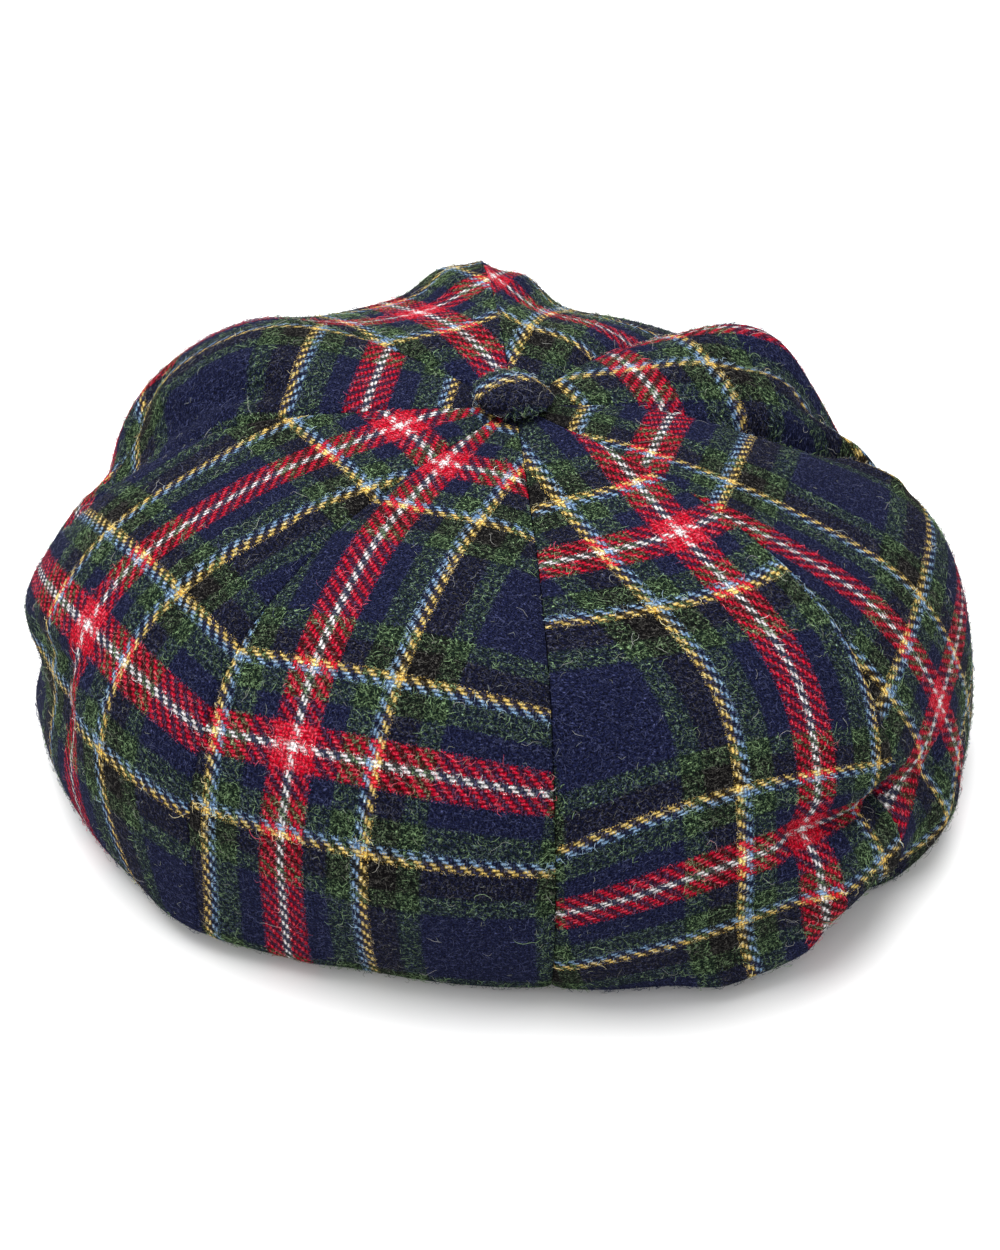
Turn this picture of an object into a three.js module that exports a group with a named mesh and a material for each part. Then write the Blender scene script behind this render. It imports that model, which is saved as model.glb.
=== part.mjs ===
// A baker boy cap of eight tartan panels, in millimetres: +Z is up and +Y is the front, where the
// peak is. The cap rests on the lower edge of its headband, and the crown slumps around it. The
// crown is described around the axis of the button: a turn of 0 degrees is the back of the cap,
// 90 is its left side, seen from behind, and 180 is its front.

import * as THREE from 'three';

// ---------------------------------------------------------------- driving dimensions

const CLOTH_WALL = 2;            // cloth and interlining of the crown
const SEAM_GAP = 0.3;            // between neighbouring panels, and between any two pieces
const CROWN_UP = 106;            // crown surface under the button
const TOP_OUT = 42;              // radius where the rows below give topUp
const CREST_OUT = 85;            // radius where they give crestUp
const HOLE_RADIUS = 3.2;         // the small hole where the eight points meet

const BAND_HALF_WIDTH = 86;      // outside of the headband, an oval
const BAND_HALF_LENGTH = 101;
const BAND_FORWARD = 6;          // the oval's centre is this far in front of the button
const BAND_WALL = 3;
const BAND_HEIGHT = 30;
const CROWN_JOIN_UP = 27;        // the crown is sewn to the band here
const CROWN_JOIN_GAP = 0.45;

const TUCK_OUT = 2;              // how the underside bellies between its foot and the band
const TUCK_UP = 3;

const GROOVE_DEPTH = 1;          // each seam draws the cloth in
const GROOVE_WIDTH = 1.8;
const GROOVE_FADE = 0.5;         // stations over which that fades near the button and the band

const BUTTON_RADIUS = 11.5;
const BUTTON_RIM_UP = 1.7;       // the lower edge of its rim, above the crown's centre
const BUTTON_RIM = 1;
const BUTTON_DOME = 6.2;
const BUTTON_TUCK = 0.6;         // the underside is this much smaller than the rim
const SHANK_RADIUS = 2.7;
const SHANK_TOP_UP = 0.6;
const SHANK_LENGTH = 7;

const PEAK_REACH = 52;           // in front of the band
const PEAK_HALF_ANGLE = 64;      // degrees either side of the front, around the band's oval
const PEAK_FLARE = 0.06;         // its sides spread this much of their width by the lip
const PEAK_THICKNESS = 4;
const PEAK_LIP = 1.6;            // thickness of the turned lip
const PEAK_ARCH = 4;             // the middle of the peak is this much higher than its corners
const PEAK_FLATTEN = 0.6;        // share of that arch lost between the band and the lip
const PEAK_LIFT = 0.8;           // its corners, above the resting surface

// ---------------------------------------------------------------- the shape of the crown

// A section of the crown is a smooth curve through the button point, the top, the crest, the
// shoulder, the widest reach, the foot, the tuck under it, and the join with the band. "Out" is a
// distance from the button's axis, and "Up" is a height. Lean is how far, in degrees, a seam has
// drifted round by the time it reaches the foot.
const SEAM_COLUMNS = ['turn', 'lean', 'topUp', 'crestUp', 'shoulderOut', 'shoulderUp',
  'reachOut', 'reachUp', 'footOut', 'footUp'];
const SEAMS = rows(SEAM_COLUMNS, [
  [0, 1, 103, 97, 122, 82, 145, 42, 138, 5],
  [46, -5, 105, 101, 125, 87, 148, 50, 143, 5],
  [90, 0, 107, 103, 120, 84, 148, 49, 149, 6],
  [135, 0, 108, 105, 114, 91, 128, 50, 128, 10],
  [179, 0, 112, 107, 115, 92, 134, 50, 132, 12],
  [224, 0, 105, 91, 104, 77, 114, 46, 118, 10],
  [270, 0, 103, 86, 113, 73, 128, 42, 133, 6],
  [314, 6, 105, 99, 122, 84, 147, 46, 141, 5],
]);

// The middle of each panel, between the seam of the same row above and the next one. Fullness is
// how flat the panel stays across before it falls to its seams.
const PANEL_COLUMNS = ['topUp', 'crestUp', 'shoulderOut', 'shoulderUp', 'reachOut', 'reachUp',
  'footOut', 'footUp', 'fullness'];
const PANELS = rows(PANEL_COLUMNS, [
  [104, 100, 124, 85, 147, 48, 136, 4, 2.4],
  [106, 103, 127, 89, 149, 54, 143, 4, 2.6],
  [108, 112, 119, 92, 134, 55, 136, 7, 2.2],
  [109, 97, 109, 85, 131, 50, 130, 11, 2.2],
  [109, 92, 104, 80, 126, 50, 126, 11, 2.2],
  [107, 107, 98, 93, 107, 56, 116, 7, 2.2],
  [104, 95, 122, 81, 138, 50, 141, 4, 2.5],
  [104, 101, 125, 84, 154, 46, 142, 4, 2.2],
]);

// Hollows and folds in the cloth, each a soft line between two places on the crown. A place is a
// turn and a station: 1 is the top, 2 the crest, 3 the shoulder, 4 the reach, 5 the foot.
const FOLD_COLUMNS = ['fromTurn', 'fromStation', 'toTurn', 'toStation', 'width', 'rise'];
const FOLDS = rows(FOLD_COLUMNS, [
  [66, 4.1, 98, 4.6, 10, -6],
  [100, 1.8, 94, 3, 9, -6],
  [252, 1.8, 264, 3.1, 10, -5],
  [314, 4.6, 322, 5.4, 9, -5],
  [172, 2, 171, 3.6, 9, 4],
  [187, 2, 188, 3.6, 9, 5],
  [102, 3, 104, 5, 12, -5],
]);
const FOLD_RADIUS = 115;         // turns are measured as distances around this circle
const STATION_LENGTH = 36;       // and stations as distances along the cloth
const FOLD_FADE_IN = 0.8;        // stations over which folds fade near the button and the band
const FOLD_FADE_OUT = 1;
const LEAN_DONE = 4.5;           // the station where a seam has drifted all the way
const LAST_STATION = 7;

// Places across a panel, from one seam (-1) to the next (1), and along it, as stations.
const ACROSS = [-1, -0.93, -0.78, -0.55, -0.28, 0, 0.28, 0.55, 0.78, 0.93, 1];
const NORMAL_STEP = 0.02;        // stations either side of a place, for the cloth's direction
const ALONG = [0.3, 0.6, 0.95, 1.3, 1.65, 1.95, 2.25, 2.5, 2.75, 3, 3.25, 3.5, 3.75, 4, 4.25,
  4.5, 4.7, 4.9, 5.05, 5.2, 5.35, 5.5, 5.85, 6.25, 6.65, 7];

// ---------------------------------------------------------------- materials

const TARTAN = new THREE.MeshStandardMaterial({ color: 0x2b3350, roughness: 0.95, metalness: 0 });
const TARTAN_DARK = new THREE.MeshStandardMaterial({ color: 0x1b1f33, roughness: 0.95, metalness: 0 });

// ---------------------------------------------------------------- small helpers

function rows(columns, table) {
  return table.map((row) => Object.fromEntries(columns.map((name, i) => [name, row[i]])));
}

function radians(degrees) {
  return degrees * Math.PI / 180;
}

function smooth(x) {
  const t = Math.min(Math.max(x, 0), 1);
  return t * t * (3 - 2 * t);
}

function mix(a, b, t) {
  return a + (b - a) * t;
}

// One mesh from a list of points and a list of triangles.
function pieceOf(name, points, triangles, material) {
  const geometry = new THREE.BufferGeometry();
  geometry.setAttribute('position', new THREE.Float32BufferAttribute(points.flat(), 3));
  geometry.setIndex(triangles.flat());
  geometry.computeVertexNormals();
  const mesh = new THREE.Mesh(geometry, material);
  mesh.name = name;
  return mesh;
}

// A closed plate between an outer and an inner grid of points, both given row by row. Rows run
// along the plate and columns across it, so that the outer face looks away from the inner one.
function plateBetween(name, outer, inner, material) {
  const rowCount = outer.length;
  const columnCount = outer[0].length;
  const points = [...outer.flat(), ...inner.flat()];
  const at = (side, i, j) => side * rowCount * columnCount + i * columnCount + j;
  const triangles = [];
  const quad = (a, b, c, d) => triangles.push([a, c, b], [a, d, c]);
  for (let i = 0; i < rowCount - 1; i++) {
    for (let j = 0; j < columnCount - 1; j++) {
      quad(at(0, i, j), at(0, i + 1, j), at(0, i + 1, j + 1), at(0, i, j + 1));
      quad(at(1, i, j), at(1, i, j + 1), at(1, i + 1, j + 1), at(1, i + 1, j));
    }
    const end = columnCount - 1;
    quad(at(0, i, 0), at(1, i, 0), at(1, i + 1, 0), at(0, i + 1, 0));
    quad(at(0, i, end), at(0, i + 1, end), at(1, i + 1, end), at(1, i, end));
  }
  for (let j = 0; j < columnCount - 1; j++) {
    const last = rowCount - 1;
    quad(at(0, 0, j), at(0, 0, j + 1), at(1, 0, j + 1), at(1, 0, j));
    quad(at(0, last, j), at(1, last, j), at(1, last, j + 1), at(0, last, j + 1));
  }
  return pieceOf(name, points, triangles, material);
}

// ---------------------------------------------------------------- the crown

// The headband's outside, as a distance from the button's axis.
function bandOut(turn) {
  const sideways = -Math.sin(turn);
  const forward = -Math.cos(turn);
  const a = (sideways / BAND_HALF_WIDTH) ** 2 + (forward / BAND_HALF_LENGTH) ** 2;
  const b = -2 * forward * BAND_FORWARD / BAND_HALF_LENGTH ** 2;
  const c = (BAND_FORWARD / BAND_HALF_LENGTH) ** 2 - 1;
  return (-b + Math.sqrt(b * b - 4 * a * c)) / (2 * a);
}

// The stations of one section, as pairs of a radius and a height.
function stationsOf(row, turn) {
  const join = bandOut(turn) + CROWN_JOIN_GAP;
  return [
    [0, CROWN_UP],
    [TOP_OUT, row.topUp],
    [CREST_OUT, row.crestUp],
    [row.shoulderOut, row.shoulderUp],
    [row.reachOut, row.reachUp],
    [row.footOut, row.footUp],
    [(row.footOut + join) / 2 + TUCK_OUT, row.footUp + TUCK_UP],
    [join, CROWN_JOIN_UP],
  ];
}

// A smooth curve through the stations, level at the button.
function curveThrough(stations, station) {
  const last = stations.length - 1;
  const start = Math.min(Math.floor(station), last - 1);
  const t = station - start;
  const before = start > 0 ? stations[start - 1] : [-stations[1][0], stations[1][1]];
  const from = stations[start];
  const to = stations[start + 1];
  const after = start + 2 <= last
    ? stations[start + 2]
    : [2 * to[0] - from[0], 2 * to[1] - from[1]];
  return [0, 1].map((axis) => {
    const slope = to[axis] - before[axis];
    const bend = 2 * before[axis] - 5 * from[axis] + 4 * to[axis] - after[axis];
    const twist = 3 * from[axis] - before[axis] - 3 * to[axis] + after[axis];
    return 0.5 * (2 * from[axis] + slope * t + bend * t * t + twist * t ** 3);
  });
}

// How far the folds lift (or sink) the cloth at one place.
function foldRise(turn, station) {
  let rise = 0;
  for (const fold of FOLDS) {
    const x = turn * FOLD_RADIUS - radians(fold.fromTurn) * FOLD_RADIUS;
    const y = (station - fold.fromStation) * STATION_LENGTH;
    const alongX = radians(fold.toTurn - fold.fromTurn) * FOLD_RADIUS;
    const alongY = (fold.toStation - fold.fromStation) * STATION_LENGTH;
    const share = (x * alongX + y * alongY) / (alongX ** 2 + alongY ** 2);
    const near = Math.min(Math.max(share, 0), 1);
    const away = (x - near * alongX) ** 2 + (y - near * alongY) ** 2;
    rise += fold.rise * Math.exp(-away / fold.width ** 2);
  }
  return rise * smooth(station / FOLD_FADE_IN)
    * smooth((LAST_STATION - station) / FOLD_FADE_OUT);
}

// How far a seam draws the cloth in, at a distance from it.
function grooveDepth(distance, station) {
  return GROOVE_DEPTH * Math.exp(-distance / GROOVE_WIDTH)
    * smooth(station / GROOVE_FADE) * smooth((LAST_STATION - station) / GROOVE_FADE);
}

// The outer and inner points of a panel at one place across it (-1 to 1) and along it.
function panelPoint(index, across, station) {
  const left = SEAMS[index];
  const right = SEAMS[(index + 1) % SEAMS.length];
  const middle = PANELS[index];
  const leftTurn = radians(left.turn);
  const rightTurn = radians(right.turn + (right.turn < left.turn ? 360 : 0));
  const toSide = Math.abs(across) ** middle.fullness;
  const share = (across + 1) / 2;
  const side = across < 0 ? left : right;
  const row = Object.fromEntries(PANEL_COLUMNS.slice(0, -1)
    .map((name) => [name, mix(middle[name], side[name], toSide)]));

  const leanAt = (drift) => mix(leftTurn + radians(left.lean) * drift,
    rightTurn + radians(right.lean) * drift, share);
  const stations = stationsOf(row, leanAt(1));
  const [out, up] = curveThrough(stations, station);
  const ahead = curveThrough(stations, Math.min(station + NORMAL_STEP, LAST_STATION));
  const behind = curveThrough(stations, Math.max(station - NORMAL_STEP, 0));
  const length = Math.hypot(ahead[0] - behind[0], ahead[1] - behind[1]);
  const normal = [(behind[1] - ahead[1]) / length, (ahead[0] - behind[0]) / length];

  const leanedTurn = leanAt(smooth(station / LEAN_DONE));
  const seamDistance = (1 - Math.abs(across)) * (rightTurn - leftTurn) / 2 * out;
  const lift = foldRise(leanedTurn, station) - grooveDepth(seamDistance, station);
  const turn = leanedTurn - across * SEAM_GAP / 2 / out;
  return [lift, lift - CLOTH_WALL].map((offset) => {
    const radius = out + normal[0] * offset;
    return [-radius * Math.sin(turn), -radius * Math.cos(turn), up + normal[1] * offset];
  });
}

function crownPanel(index) {
  const along = [HOLE_RADIUS / TOP_OUT, ...ALONG];
  const grid = along.map((station) => ACROSS.map((across) => panelPoint(index, across, station)));
  const outer = grid.map((line) => line.map((pair) => pair[0]));
  const inner = grid.map((line) => line.map((pair) => pair[1]));
  return plateBetween(`crown_panel_${index + 1}`, outer, inner, TARTAN);
}

// ---------------------------------------------------------------- the button, band and peak

// A covered button: a dome with a small rim, and a shank through the hole in the crown.
function topButton() {
  const rimUp = CROWN_UP + BUTTON_RIM_UP;
  const profile = [
    new THREE.Vector2(0, CROWN_UP - SHANK_LENGTH),
    new THREE.Vector2(SHANK_RADIUS, CROWN_UP - SHANK_LENGTH),
    new THREE.Vector2(SHANK_RADIUS, CROWN_UP + SHANK_TOP_UP),
    new THREE.Vector2(BUTTON_RADIUS - BUTTON_TUCK, rimUp),
  ];
  const domeSteps = 7;
  for (let i = 0; i < domeSteps; i++) {
    const angle = i / domeSteps * Math.PI / 2;
    profile.push(new THREE.Vector2(BUTTON_RADIUS * Math.cos(angle),
      rimUp + BUTTON_RIM + BUTTON_DOME * Math.sin(angle)));
  }
  profile.push(new THREE.Vector2(0, rimUp + BUTTON_RIM + BUTTON_DOME));
  const geometry = new THREE.LatheGeometry(profile, 28);
  geometry.rotateX(Math.PI / 2);
  const mesh = new THREE.Mesh(geometry, TARTAN_DARK);
  mesh.name = 'top_button';
  return mesh;
}

function ovalPath(shape, halfWidth, halfLength) {
  shape.absellipse(0, BAND_FORWARD, halfWidth, halfLength, 0, Math.PI * 2, false, 0);
  return shape;
}

// The headband: an upright oval ring, open where the head goes in.
function headband() {
  const ring = ovalPath(new THREE.Shape(), BAND_HALF_WIDTH, BAND_HALF_LENGTH);
  const head = ovalPath(new THREE.Path(), BAND_HALF_WIDTH - BAND_WALL, BAND_HALF_LENGTH - BAND_WALL);
  ring.holes.push(head);
  const geometry = new THREE.ExtrudeGeometry(ring, {
    depth: BAND_HEIGHT, steps: 1, bevelEnabled: false, curveSegments: 64,
  });
  const mesh = new THREE.Mesh(geometry, TARTAN_DARK);
  mesh.name = 'headband';
  return mesh;
}

// One place on the peak: around the front (-1 to 1) and outward from the band (0) to the lip (1).
function peakPoint(around, outward, height) {
  const angle = radians(PEAK_HALF_ANGLE) * around;
  const spread = Math.sqrt(1 - around * around);
  const arch = PEAK_ARCH * spread * (1 - PEAK_FLATTEN * outward);
  return [
    (BAND_HALF_WIDTH + SEAM_GAP) * Math.sin(angle) * (1 + PEAK_FLARE * outward),
    BAND_FORWARD + (BAND_HALF_LENGTH + SEAM_GAP) * Math.cos(angle) + PEAK_REACH * spread * outward,
    PEAK_LIFT + arch + height,
  ];
}

// The peak: a stiff, covered crescent with a turned lip, against the front of the band.
function peak() {
  const ends = 0.985;
  const aroundSteps = 24;
  const outwardPlaces = [0, 0.25, 0.5, 0.75, 0.94, 1];
  const face = (side) => outwardPlaces.map((outward) => {
    const thickness = outward === 1 ? PEAK_LIP : PEAK_THICKNESS;
    const height = (PEAK_THICKNESS + side * thickness) / 2;
    const line = [];
    for (let i = 0; i <= aroundSteps; i++) {
      const around = ends * Math.sin(mix(-0.5, 0.5, i / aroundSteps) * Math.PI);
      line.push(peakPoint(around, outward, height));
    }
    return line;
  });
  return plateBetween('peak', face(1), face(-1), TARTAN_DARK);
}

// ---------------------------------------------------------------- the cap

const cap = new THREE.Group();
for (let i = 0; i < PANELS.length; i++) cap.add(crownPanel(i));
cap.add(topButton());
cap.add(headband());
cap.add(peak());

// The origin is on the resting surface, in the middle of the cap's outer box.
const box = new THREE.Box3().setFromObject(cap);
const middle = box.getCenter(new THREE.Vector3());
cap.position.set(-middle.x, -middle.y, -box.min.z);

export default cap;
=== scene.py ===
"""The look of a baker boy cap of eight tartan panels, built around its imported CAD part.

Lengths are millimetres around the button's axis, +Z up and +Y to the front, until place() moves
them into the frame. A turn of 0 degrees is the back of the cap and 90 is its left side.
"""

import math

import bpy
import numpy as np
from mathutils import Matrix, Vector


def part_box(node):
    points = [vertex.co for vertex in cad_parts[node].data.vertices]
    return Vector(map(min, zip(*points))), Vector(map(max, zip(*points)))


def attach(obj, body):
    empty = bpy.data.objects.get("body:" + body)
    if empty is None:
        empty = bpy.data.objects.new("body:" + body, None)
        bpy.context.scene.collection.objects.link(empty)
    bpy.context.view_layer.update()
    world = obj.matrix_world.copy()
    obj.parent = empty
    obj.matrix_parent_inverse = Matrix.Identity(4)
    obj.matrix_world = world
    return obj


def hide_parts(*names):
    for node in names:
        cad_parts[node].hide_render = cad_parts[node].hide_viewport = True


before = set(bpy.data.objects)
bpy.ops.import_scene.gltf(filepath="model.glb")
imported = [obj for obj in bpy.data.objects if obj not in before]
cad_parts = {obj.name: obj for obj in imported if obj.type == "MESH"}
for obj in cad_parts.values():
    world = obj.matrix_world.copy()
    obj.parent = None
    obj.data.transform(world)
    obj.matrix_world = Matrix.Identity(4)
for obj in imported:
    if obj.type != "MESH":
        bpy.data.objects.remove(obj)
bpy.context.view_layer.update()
MM = 0.001

# ---------------------------------------------------------------- dimensions of the CAD part

CLOTH_WALL = 2.0
SEAM_GAP = 0.3
INNER_SEAM_GAP = 0.02            # inside, the panels all but meet, so no light comes through
CROWN_UP = 106.0                 # height under the button
TOP_OUT = 42.0                   # radius of the first station below the button
CREST_OUT = 85.0                 # radius of the second
HOLE_RADIUS = 3.2                # the hole that the button's shank fills
BAND_HALF_WIDTH = 86.0
BAND_HALF_LENGTH = 101.0
BAND_FORWARD = 6.0               # the band's middle is in front of the button
BAND_WALL = 3.0
BAND_HEIGHT = 30.0
CROWN_JOIN_UP = 27.0             # where the crown meets the band
CROWN_JOIN_GAP = 0.45
TUCK_OUT = 2.0                   # the cloth turns under to the band round this bulge
TUCK_UP = 3.0
GROOVE_DEPTH = 0.8               # of the groove along a seam
GROOVE_WIDTH = 1.8
GROOVE_FADE = 0.5
BUTTON_RADIUS = 11.5
BUTTON_RIM_UP = 1.7
BUTTON_RIM = 1.0
BUTTON_DOME = 6.2
BUTTON_TUCK = 0.6
SHANK_RADIUS = 2.7
SHANK_LENGTH = 7.0
PEAK_REACH = 52.0
PEAK_HALF_ANGLE = 64.0
PEAK_FLARE = 0.06
PEAK_THICKNESS = 4.0
PEAK_ARCH = 4.0
PEAK_FLATTEN = 0.6
PEAK_LIFT = 0.8
FOLD_RADIUS = 115.0              # turns along a fold are measured around this circle
STATION_LENGTH = 36.0            # cloth between two stations
FOLD_FADE_IN = 0.8               # stations over which folds fade near the button
FOLD_FADE_OUT = 1.0              # and near the band
LEAN_DONE = 4.5                  # a seam has leaned all the way here
LAST_STATION = 7.0

# Each seam: its turn, how far it leans on its way down, and its section.
# turn, lean, topUp, crestUp, shoulderOut, shoulderUp, reachOut, reachUp, footOut, footUp
SEAMS = np.array([
    [0, 1, 103, 97, 122, 82, 145, 42, 138, 5],
    [46, -5, 105, 101, 125, 87, 148, 50, 143, 5],
    [90, 0, 107, 103, 120, 84, 148, 49, 149, 6],
    [135, 0, 108, 105, 114, 91, 128, 50, 128, 10],
    [179, 0, 112, 107, 115, 92, 134, 50, 132, 12],
    [224, 0, 105, 91, 104, 77, 114, 46, 118, 10],
    [270, 0, 103, 86, 113, 73, 128, 42, 133, 6],
    [314, 6, 105, 99, 122, 84, 147, 46, 141, 5],
], float)

# The middle of each panel, then how late towards its seams it leaves this section.
# topUp, crestUp, shoulderOut, shoulderUp, reachOut, reachUp, footOut, footUp, fullness
PANELS = np.array([
    [104, 100, 124, 85, 147, 48, 136, 4, 2.4],
    [106, 103, 127, 89, 149, 54, 143, 4, 2.6],
    [108, 112, 119, 92, 134, 55, 136, 7, 2.2],
    [109, 97, 109, 85, 131, 50, 130, 11, 2.2],
    [109, 92, 104, 80, 126, 50, 126, 11, 2.2],
    [107, 107, 98, 93, 107, 56, 116, 7, 2.2],
    [104, 95, 122, 81, 138, 50, 141, 4, 2.5],
    [104, 101, 125, 84, 154, 46, 142, 4, 2.2],
], float)

TURN, LEAN, SEAM_SECTION = 0, 1, 2      # columns of SEAMS; the section is all the rest
FULLNESS = 8                            # column of PANELS; the section is all before it

# Folds of the solid part, each a soft ridge (or hollow) between two places on the crown.
# fromTurn, fromStation, toTurn, toStation, width, rise
FOLDS = [
    [66, 4.1, 98, 4.6, 10, -6],
    [100, 1.8, 94, 3, 9, -6],
    [252, 1.8, 264, 3.1, 10, -5],
    [314, 4.6, 322, 5.4, 9, -5],
    [172, 2, 171, 3.6, 9, 4],
    [187, 2, 188, 3.6, 9, 5],
    [102, 3, 104, 5, 12, -5],
]

# Small creases that the solid part leaves out, in the same columns.
CREASES = [
    [335, 3.84, 321, 4.06, 5, -8],
    [321, 4.06, 309, 4.3, 5, -4],
    [331, 4.35, 322, 4.5, 8, 5],
    [342.5, 4.8, 334, 4.75, 9, 5],
    [312, 4.6, 319, 5.3, 9, 5],
    [325, 4.7, 328, 5.4, 8, -7],
    [313, 4.45, 305, 4.7, 11, 4],
    [46, 4.85, 30, 4.85, 10, 2.5],
    [77, 3.95, 67, 3.8, 5, -3.5],
    [67, 3.8, 60, 3.5, 4, -1.5],
    [49, 1.9, 50.5, 2.6, 2.2, -1.2],
    [52, 2.0, 54, 2.9, 2.5, -1.0],
    [55, 2.3, 58, 3.1, 3, 0.9],
    [44, 2.2, 42, 3.0, 3, -0.8],
    [262, 2.2, 264, 2.8, 5, -2.5],
    [266.7, 1.7, 268, 3.0, 4.5, 1.5],
    [273.5, 2.4, 276.5, 2.8, 4, 2],
    [266.5, 2.8, 267.5, 3.6, 7, 1.5],
    [270, 1.7, 271, 3.2, 3, -3.5],
    [104, 2.6, 94, 2.0, 3, 1.5],
    [113, 2.75, 98, 3.3, 4, -3],
]

# ---------------------------------------------------------------- the cloth

YARN = 1.046                     # width of one twill yarn
# Half of the sett in yarns, from the middle of the white stripe. The other half mirrors it.
SETT = [("white", 1), ("red", 5), ("navy", 7), ("green", 7), ("light_blue", 2), ("yellow", 2),
        ("black", 8), ("green", 6), ("navy", 15)]
HALF_SETT = sum(count for _, count in SETT)
OWN, PALE_FIBRE_AND_HIGHLIGHT, FELT = 0, 1, 2       # columns of DYES
# Each dye: its own colour, its fibres' paler colour with painted highlight in it, and how far it is
# felted over.
DYES = {
    "white": ((0.95, 0.93, 0.94), (1.0, 0.98, 0.99), 0.05),
    "red": ((0.54, 0.003, 0.025), (0.93, 0.12, 0.18), 0.2),
    "navy": ((0.007, 0.009, 0.031), (0.055, 0.064, 0.15), 0.9),
    "green": ((0.006, 0.013, 0.009), (0.27, 0.42, 0.20), 0.85),
    "light_blue": ((0.20, 0.34, 0.56), (0.52, 0.70, 0.86), 0.05),
    "yellow": ((0.83, 0.57, 0.15), (0.98, 0.85, 0.48), 0.05),
    "black": ((0.0035, 0.003, 0.0035), (0.10, 0.095, 0.085), 0.85),
}

# How each panel was cut and lies, at even steps down it from the button: where the middle of the
# red stripe is across the panel, how drawn in the stripes are there (spread under 1), how far the
# cross stripes tilt and bow, and the place along the sett.
CLOTH = [
    [[8, 0.85, 0.04, 0, -13.5], [17, 0.97, 0.04, 0, 44],
     [21, 0.97, 0.04, 0, 101.5], [23, 0.97, 0.04, 0, 156.5]],
    [[6, 1, -0.1, 0, -12], [0, 0.86, -0.1, 0, 41.5],
     [-5, 0.86, -0.08, -2, 98], [-6, 1, -0.05, -2, 147]],
    [[48, 1, -0.15, 0, -21.5], [41, 1, -0.15, 0, 35],
     [0, 1, -0.15, 0, 92], [-20, 1, -0.15, 0, 148]],
    [[4, 1, 0.15, 0, -44], [4, 1, 0.15, 0, 4],
     [4, 1, 0.15, 0, 62], [4, 1, 0.15, 0, 117]],
    [[-31, 1, 0.2, 0, -41], [-31, 1, 0.35, 0, 14],
     [-31, 1, 0.3, 0, 69], [-31, 1, 0.3, 0, 124]],
    [[-30, 1, 0, 0, -19], [-12, 1, 0, 0, 38],
     [25, 1, 0, 0, 96], [30, 1, 0, 0, 150]],
    [[30, 0.85, 0, 0, -21.5], [31, 0.8, -0.05, 0, 33],
     [34, 0.8, -0.2, 0, 90], [16, 0.9, -0.3, 0, 141]],
    [[-14, 1, 0.1, 0, -48], [-12, 1, 0, 12, 1], [-23, 1, 0.08, -2, 60],
     [-18, 1, -0.12, -7, 131], [-36, 1, -0.2, -7, 180]],
]
CLOTH_FROM = 20.0                # the distance of its first row down from the button
CLOTH_STEP = 55.0                # and from each row to the next
BOW_SPAN = 40.0                  # a bow is the cross stripes' rise this far from the middle

ACROSS_STEPS = 58                # the grid of a panel's mesh
ALONG_STEPS = 140
EVEN_SHARE = 0.35                # how much of the spacing of its columns is even
COARSE_ACROSS = 21               # the coarser grid that is laid flat
COARSE_ALONG = 121
COARSE_FROM = 0.05
NORMAL_STEP = 0.02

# ---------------------------------------------------------------- the shape of the crown


def smooth(x):
    """Eases from 0 to 1."""
    x = np.clip(x, 0, 1)
    return x * x * (3 - 2 * x)


def unit(vectors):
    return vectors / np.maximum(np.linalg.norm(vectors, axis=-1, keepdims=True), 1e-9)


def run_along(line):
    """The distance along a line of points, at each of them."""
    steps = np.linalg.norm(np.diff(line, axis=0), axis=1)
    return np.concatenate([[0], np.cumsum(steps)])


def between(before, a, b, after, t):
    """A smooth curve from a (t = 0) to b (t = 1) that heads where its neighbours lie."""
    bend = 2 * before - 5 * a + 4 * b - after
    twist = 3 * a - before - 3 * b + after
    return 0.5 * (2 * a + (b - before) * t + bend * t ** 2 + twist * t ** 3)


def band_out(turn):
    """The headband's outside, as a distance from the button's axis."""
    sideways = -np.sin(turn)
    forward = -np.cos(turn)
    a = (sideways / BAND_HALF_WIDTH) ** 2 + (forward / BAND_HALF_LENGTH) ** 2
    b = -2 * forward * BAND_FORWARD / BAND_HALF_LENGTH ** 2
    c = (BAND_FORWARD / BAND_HALF_LENGTH) ** 2 - 1
    return (-b + np.sqrt(b * b - 4 * a * c)) / (2 * a)


def stations_of(section, turn):
    """The stations of a section, as radii and heights, from the button to the band."""
    (top_up, crest_up, shoulder_out, shoulder_up,
     reach_out, reach_up, foot_out, foot_up) = np.moveaxis(section, -1, 0)
    zero = np.zeros_like(turn)
    join = band_out(turn) + CROWN_JOIN_GAP
    tuck = (foot_out + join) / 2 + TUCK_OUT
    out = [zero, zero + TOP_OUT, zero + CREST_OUT, shoulder_out, reach_out, foot_out, tuck, join]
    up = [zero + CROWN_UP, top_up, crest_up, shoulder_up, reach_up, foot_up, foot_up + TUCK_UP,
          zero + CROWN_JOIN_UP]
    return np.stack([np.stack(out, -1), np.stack(up, -1)], -1)


def curve_through(stations, station):
    """A smooth curve through the stations, level at the button."""
    last = stations.shape[-2] - 1
    start = np.clip(np.floor(station).astype(int), 0, last - 1)
    t = (station - start)[..., None]
    mirrored = stations[..., 1:2, :] * [-1, 1]
    beyond = 2 * stations[..., -1:, :] - stations[..., -2:-1, :]
    padded = np.concatenate([mirrored, stations, beyond], -2)

    def pick(step):
        chosen = np.broadcast_to((start + step)[..., None, None], start.shape + (1, 2))
        return np.take_along_axis(padded, chosen, -2)[..., 0, :]

    return between(pick(0), pick(1), pick(2), pick(3), t)


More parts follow.
